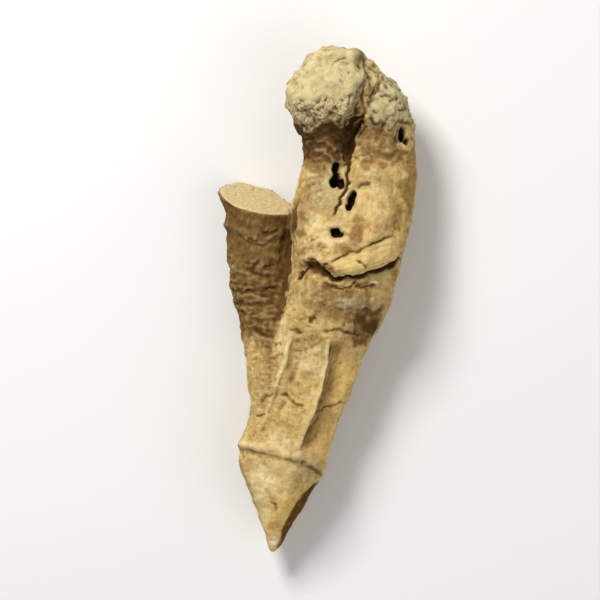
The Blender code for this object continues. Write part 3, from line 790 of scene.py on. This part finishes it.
class Nodes:
    """Shorthand for building a material's node tree."""

    def __init__(self, material):
        self.tree = material.node_tree
        self.shader = self.tree.nodes["Principled BSDF"]

    def add(self, kind, settings=None, **inputs):
        node = self.tree.nodes.new(kind)
        for name, value in (settings or {}).items():
            setattr(node, name, value)
        for name, value in inputs.items():
            self.feed(node.inputs[name.replace("_", " ")], value)
        return node

    def feed(self, socket, value):
        if isinstance(value, bpy.types.NodeSocket):
            self.tree.links.new(value, socket)
        else:
            socket.default_value = value

    def mark(self, name):
        """How strong that mark of the mesh is here, from 0 to 1."""
        return self.add("ShaderNodeAttribute", {"attribute_name": name}).outputs["Fac"]

    def place(self, stretch, turn):
        """The point's place on the root in millimetres, turned about Z, then squeezed along each axis."""
        coordinates = self.add("ShaderNodeTexCoord").outputs["Object"]
        scale = [MM * s for s in stretch]
        made = self.add(
            "ShaderNodeMapping", {"vector_type": "TEXTURE"},
            Vector=coordinates, Rotation=(0, 0, turn), Scale=scale,
        )
        return made.outputs["Vector"]

    def noise(self, size, stretch=(1, 1, 1), turn=0.0, detail=3.0, roughness=0.55, distortion=0.0):
        """Noise about 0.5, whose lumps have that size in millimetres."""
        made = self.add(
            "ShaderNodeTexNoise",
            Vector=self.place(stretch, turn), Scale=1 / size, Detail=detail, Roughness=roughness,
            Distortion=distortion,
        )
        return made.outputs["Fac"]

    def maths(self, operation, a, b=0.0):
        made = self.add("ShaderNodeMath", {"operation": operation})
        self.feed(made.inputs[0], a)
        self.feed(made.inputs[1], b)
        return made.outputs[0]

    def span(self, value, low, high, to_low=0.0, to_high=1.0):
        """The value's range from low to high, stretched to the other range and kept within it."""
        made = self.add("ShaderNodeMapRange", Value=value)
        self.feed(made.inputs["From Min"], low)
        self.feed(made.inputs["From Max"], high)
        self.feed(made.inputs["To Min"], to_low)
        self.feed(made.inputs["To Max"], to_high)
        return made.outputs["Result"]

    def mix(self, share, a, b, kind="RGBA"):
        made = self.add("ShaderNodeMix", {"data_type": kind})
        self.feed(made.inputs["Factor"], share)
        self.feed(made.inputs["A"], a)
        self.feed(made.inputs["B"], b)
        return made.outputs["Result"]

    def blend(self, value, low, high, a, b):
        """One colour where the value is low, the other where it is high."""
        return self.mix(self.span(value, low, high), a, b)

    def layer(self, below, name, colour, strength=1.0):
        """A colour over the one below it, where the mark of that name is."""
        return self.mix(self.maths("MULTIPLY", self.mark(name), strength), below, colour)

    def bands(self, value, stops):
        """A colour for the value, from stops of place and colour."""
        made = self.add("ShaderNodeValToRGB", Fac=value)
        ramp_stops = made.color_ramp.elements
        while len(ramp_stops) < len(stops):
            ramp_stops.new(0.5)
        for element, (place, colour) in zip(ramp_stops, stops):
            element.position = place
            element.color = colour
        return made.outputs["Color"]


def srgb(red, green, blue):
    """A colour given as it shows on a screen, from 0 to 255, as the shader's linear values."""
    shares = (red / 255, green / 255, blue / 255)
    return tuple(s / 12.92 if s <= 0.04045 else ((s + 0.055) / 1.055) ** 2.4 for s in shares) + (1.0,)


def bark_material():
    """Mottled bark, a layer of colour for each mark, and at last the painted shade of hollows and cracks
    and the painted highlight of crests.
    """
    made = bpy.data.materials.new("bark")
    made.use_nodes = True
    nodes = Nodes(made)

    # Noises from wide to fine. Fibres run along the root, and on the torn strip along the strip.
    broad = nodes.noise(8.0, detail=5.0, roughness=0.6)
    middling = nodes.noise(2.2, detail=5.0, roughness=0.62, distortion=0.4)
    along_root = nodes.noise(0.45, stretch=(1, 8, 1), detail=4.0, roughness=0.65)
    along_strip = nodes.noise(0.45, stretch=(9, 1, 3), turn=STRIP_TURN, detail=4.0, roughness=0.65)
    fibres = nodes.mix(nodes.mark("strip"), along_root, along_strip, "FLOAT")
    specks = nodes.noise(0.5, detail=3.0, roughness=0.7)
    across = nodes.noise(1.1, stretch=(1.7, 0.8, 1.7), detail=4.0, roughness=0.6, distortion=0.3)
    hollow = nodes.mark("hollow")

    # Bare bark, mottled by each noise in turn.
    colour = nodes.bands(broad, [
        (0.32, srgb(172, 139, 82)),
        (0.48, srgb(201, 170, 105)),
        (0.66, srgb(217, 187, 121)),
    ])
    for value, low, high, most, tint in (
        (middling, 0.50, 0.68, 0.8, srgb(166, 130, 78)),
        (middling, 0.44, 0.30, 0.6, srgb(226, 202, 148)),
        (across, 0.52, 0.68, 0.6, srgb(158, 122, 68)),
        (across, 0.46, 0.32, 0.6, srgb(230, 206, 150)),
        (fibres, 0.52, 0.75, 0.3, srgb(222, 197, 143)),
        (fibres, 0.47, 0.30, 0.3, srgb(146, 110, 62)),
    ):
        colour = nodes.mix(nodes.span(value, low, high, 0, most), colour, tint)

    # Patches, the torn strip, and the bark of the sawn stem.
    ochre = nodes.blend(middling, 0.38, 0.62, srgb(244, 205, 124), srgb(218, 176, 99))
    colour = nodes.layer(colour, "ochre", ochre, nodes.span(fibres, 0.35, 0.6, 0.6, 1.0))
    # The pale layer is partly paler bark and partly painted highlight: on the rings' lips, the ridges'
    # crests, the torn strip's lower edge and the tip's left side.
    colour = nodes.layer(colour, "pale", srgb(246, 226, 172), nodes.span(middling, 0.30, 0.6, 1.0, 0.5))
    # The brown layer is partly brown bark and partly painted shade: at the ridges' feet, in the rings'
    # grooves and in the hollow on the right flank.
    brown = nodes.blend(middling, 0.35, 0.65, srgb(150, 116, 68), srgb(104, 76, 40))
    colour = nodes.layer(colour, "brown", brown, nodes.span(specks, 0.35, 0.6, 0.7, 1.0))
    strip = nodes.blend(fibres, 0.35, 0.65, srgb(212, 176, 106), srgb(236, 206, 138))
    colour = nodes.layer(colour, "strip", strip, nodes.span(middling, 0.4, 0.65, 1.0, 0.55))

    stem = nodes.bands(middling, [
        (0.34, srgb(132, 103, 56)),
        (0.50, srgb(111, 83, 41)),
        (0.66, srgb(90, 65, 30)),
    ])
    stem = nodes.mix(nodes.span(fibres, 0.5, 0.75, 0, 0.3), stem, srgb(158, 132, 88))
    colour = nodes.layer(colour, "stem", stem, nodes.span(broad, 0.35, 0.6, 1.0, 0.85))

    # The stained neck with its red spots, then the callus caps.
    stain = nodes.blend(middling, 0.38, 0.62, srgb(112, 82, 44), srgb(72, 49, 23))
    stain = nodes.mix(nodes.span(across, 0.5, 0.34, 0, 0.35), stain, srgb(150, 118, 72))
    colour = nodes.layer(colour, "stain", stain)
    red = nodes.blend(specks, 0.4, 0.62, srgb(108, 60, 28), srgb(150, 102, 60))
    colour = nodes.layer(colour, "red", red)

    callus = nodes.bands(nodes.noise(3.0, detail=6.0, roughness=0.66, distortion=0.6), [
        (0.34, srgb(156, 136, 92)),
        (0.46, srgb(188, 171, 123)),
        (0.60, srgb(208, 194, 145)),
    ])
    crumbs = nodes.bands(specks, [
        (0.36, srgb(142, 122, 84)),
        (0.50, srgb(188, 168, 124)),
        (0.64, srgb(228, 214, 172)),
    ])
    callus = nodes.mix(nodes.span(specks, 0.56, 0.72, 0, 0.25), callus, srgb(150, 128, 84))
    callus = nodes.layer(callus, "rim", crumbs)
    colour = nodes.layer(colour, "callus", callus)
    grey = nodes.blend(specks, 0.4, 0.6, srgb(160, 145, 105), srgb(202, 189, 144))
    colour = nodes.layer(colour, "grey", grey, nodes.span(middling, 0.38, 0.6, 1.0, 0.45))

    # The cut faces and bleached spots.
    sawn = nodes.blend(specks, 0.42, 0.62, srgb(214, 194, 147), srgb(192, 169, 121))
    colour = nodes.layer(colour, "cut", sawn)
    # The chopped face's dark brown is partly the wood's colour and partly painted shade.
    chopped = nodes.blend(fibres, 0.35, 0.65, srgb(112, 76, 32), srgb(84, 55, 18))
    colour = nodes.layer(colour, "chop", chopped)
    colour = nodes.layer(colour, "white", srgb(238, 225, 194), nodes.span(across, 0.35, 0.55, 1.0, 0.3))

    # Painted shade in the hollows, a painted highlight on the crests, and the painted shade in cracks and
    # pits.
    colour = nodes.mix(nodes.span(hollow, 0.54, 0.95, 0, 0.8), colour, srgb(84, 58, 28))
    colour = nodes.mix(nodes.span(hollow, 0.44, 0.15, 0, 0.2), colour, srgb(232, 214, 168))
    colour = nodes.layer(colour, "shade", srgb(82, 57, 25))
    colour = nodes.layer(colour, "dark", srgb(40, 27, 13))
    nodes.feed(nodes.shader.inputs["Base Color"], colour)

    nodes.feed(nodes.shader.inputs["Roughness"], nodes.span(middling, 0.3, 0.7, 0.72, 0.92))
    nodes.shader.inputs["Specular IOR Level"].default_value = SPECULAR
    relief = across
    for value, amount in ((middling, 0.8), (fibres, 0.5), (specks, 0.7)):
        relief = nodes.maths("ADD", relief, nodes.maths("MULTIPLY", value, amount))
    bump = nodes.add("ShaderNodeBump", Height=relief, Strength=BUMP_STRENGTH, Distance=BUMP_DEPTH * MM)
    nodes.feed(nodes.shader.inputs["Normal"], bump.outputs["Normal"])
    return made


def dress_root():
    """The bark: a fine skin in the root's place, carved, coloured and tied to the node."""
    root = fine_skin(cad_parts["root"])
    skin = Skin(root.data)
    carve_bark(skin)
    carve_rings(skin)
    carve_callus(skin)
    carve_neck(skin)
    carve_stem(skin)
    carve_ridges(skin)
    carve_tear(skin)
    carve_cracks(skin)
    carve_pits(skin)
    colour_patches(skin)
    carve_saw_cut(skin)
    carve_tip(skin)
    for x, y, width, amount in SWELLINGS:
        skin.height += amount * bell(np.hypot(skin.x - x, skin.y - y), width)
    skin.finish()
    root.data.shade_smooth()
    root.data.materials.clear()
    root.data.materials.append(bark_material())
    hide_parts("root")
    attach(root, "root")


def floor():
    """The pale ground that the root lies on."""
    bpy.ops.mesh.primitive_plane_add(size=FLOOR_METRES)
    made = bpy.context.active_object
    made.name = "floor"
    paper = bpy.data.materials.new("pale floor")
    paper.use_nodes = True
    shader = paper.node_tree.nodes["Principled BSDF"]
    shader.inputs["Base Color"].default_value = FLOOR_COLOUR
    shader.inputs["Roughness"].default_value = 0.9
    made.data.materials.append(paper)


def area_light(name, place, size, power, colour):
    """A soft square light that looks at the ground under the root's middle."""
    light = bpy.data.lights.new(name, "AREA")
    light.size = size
    light.energy = power
    light.color = colour
    made = bpy.data.objects.new(name, light)
    bpy.context.scene.collection.objects.link(made)
    made.location = place
    made.rotation_euler = (-Vector(place)).to_track_quat("-Z", "Y").to_euler()


def lights():
    """A key light from the upper left, a weak fill from the right, and a white sky."""
    for name, (place, size, power, colour) in LIGHTS.items():
        area_light(name, place, size, power, colour)
    world = bpy.data.worlds.new("studio")
    world.use_nodes = True
    sky = world.node_tree.nodes["Background"]
    sky.inputs["Color"].default_value = (1, 1, 1, 1)
    sky.inputs["Strength"].default_value = SKY_STRENGTH
    bpy.context.scene.world = world


def camera():
    """A long lens straight above the root, far enough to see as much as VIEW_HEIGHT of it."""
    lens = bpy.data.cameras.new("camera")
    lens.lens = LENS
    lens.sensor_width = SENSOR
    lens.clip_start = 0.01
    made = bpy.data.objects.new("camera", lens)
    bpy.context.scene.collection.objects.link(made)
    made.location = (0, 0, (MIDDLE_HEIGHT + VIEW_HEIGHT * LENS / SENSOR) * MM)
    made.rotation_euler = (0, 0, LEAN)
    bpy.context.scene.camera = made


dress_root()
floor()
lights()
camera()
bpy.context.scene.view_settings.view_transform = "Standard"
